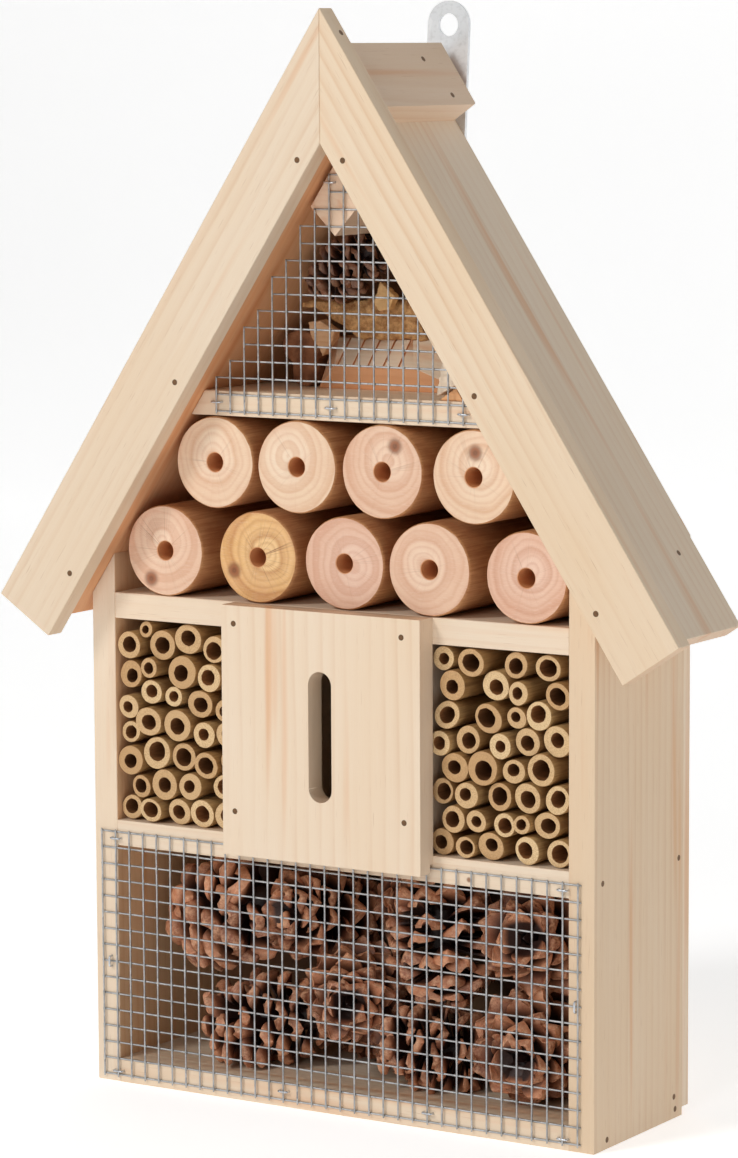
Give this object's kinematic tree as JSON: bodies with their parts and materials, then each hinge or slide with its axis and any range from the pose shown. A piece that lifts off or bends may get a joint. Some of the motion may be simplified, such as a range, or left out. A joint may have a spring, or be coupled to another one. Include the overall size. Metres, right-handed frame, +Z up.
{
  "type": "insect hotel",
  "caption": "House-shaped wooden insect hotel with a pitched roof, drilled logs, hollow stems, a slotted butterfly panel, pine cones behind wire mesh and a hanger plate.",
  "frame": {"origin": "middle of the body's underside, half way between its front plane and its back face", "axes": "+Z up, -Y out of the front (the side with the mesh and the slotted panel), +X to the right seen from the front"},
  "size_m": [0.2932, 0.0926, 0.413],
  "materials": {
    "pine": "planed, unfinished",
    "back_board": "thin board, unfinished",
    "log_wood": "peeled log, sawn ends",
    "bark": "rough bark",
    "bamboo": "dry stem, sawn ends",
    "pine_cone": "dry open scales",
    "galvanised_wire": "galvanised",
    "nail_steel": "dull",
    "galvanised_plate": "galvanised sheet"
  },
  "bodies": {
    "root": {"left_side_wall": "pine", "right_side_wall": "pine", "bottom_board": "pine", "lower_shelf": "pine", "middle_shelf": "pine", "upper_shelf": "pine", "left_divider": "pine", "right_divider": "pine", "left_roof_panel": "pine", "right_roof_panel": "pine", "left_bargeboard": "pine", "right_bargeboard": "pine", "left_ridge_board": "pine", "right_ridge_board": "pine", "butterfly_panel": "pine", "ridge_block": "pine", "sawn_block": "pine", "wood_chunk": "pine", "splinter": "pine", "pale_offcut": "pine", "small_offcut": "pine", "back_panel": "back_board", "top_log_1": "log_wood", "top_log_2": "log_wood", "top_log_3": "log_wood", "top_log_4": "log_wood", "bottom_log_1": "log_wood", "bottom_log_2": "log_wood", "bottom_log_3": "log_wood", "bottom_log_4": "log_wood", "bottom_log_5": "log_wood", "bark_piece": "bark", "branch_slice": "bark", "left_stems_1": "bamboo", "left_stems_2": "bamboo", "right_stems_1": "bamboo", "right_stems_2": "bamboo", "pine_cone_1": "pine_cone", "pine_cone_2": "pine_cone", "pine_cone_3": "pine_cone", "pine_cone_4": "pine_cone", "pine_cone_5": "pine_cone", "pine_cone_6": "pine_cone", "pine_cone_7": "pine_cone", "pine_cone_8": "pine_cone", "pine_cone_9": "pine_cone", "pine_cone_10": "pine_cone", "gable_cone": "pine_cone", "lower_mesh_uprights": "galvanised_wire", "lower_mesh_cross_wires": "galvanised_wire", "gable_mesh_uprights": "galvanised_wire", "gable_mesh_cross_wires": "galvanised_wire", "lower_mesh_staples": "galvanised_wire", "gable_mesh_staples": "galvanised_wire", "bargeboard_nails": "nail_steel", "roof_nails": "nail_steel", "side_wall_nails": "nail_steel", "panel_nails": "nail_steel", "hanger_plate": "galvanised_plate", "hanger_screws": "galvanised_plate"}
  },
  "joints": []
}
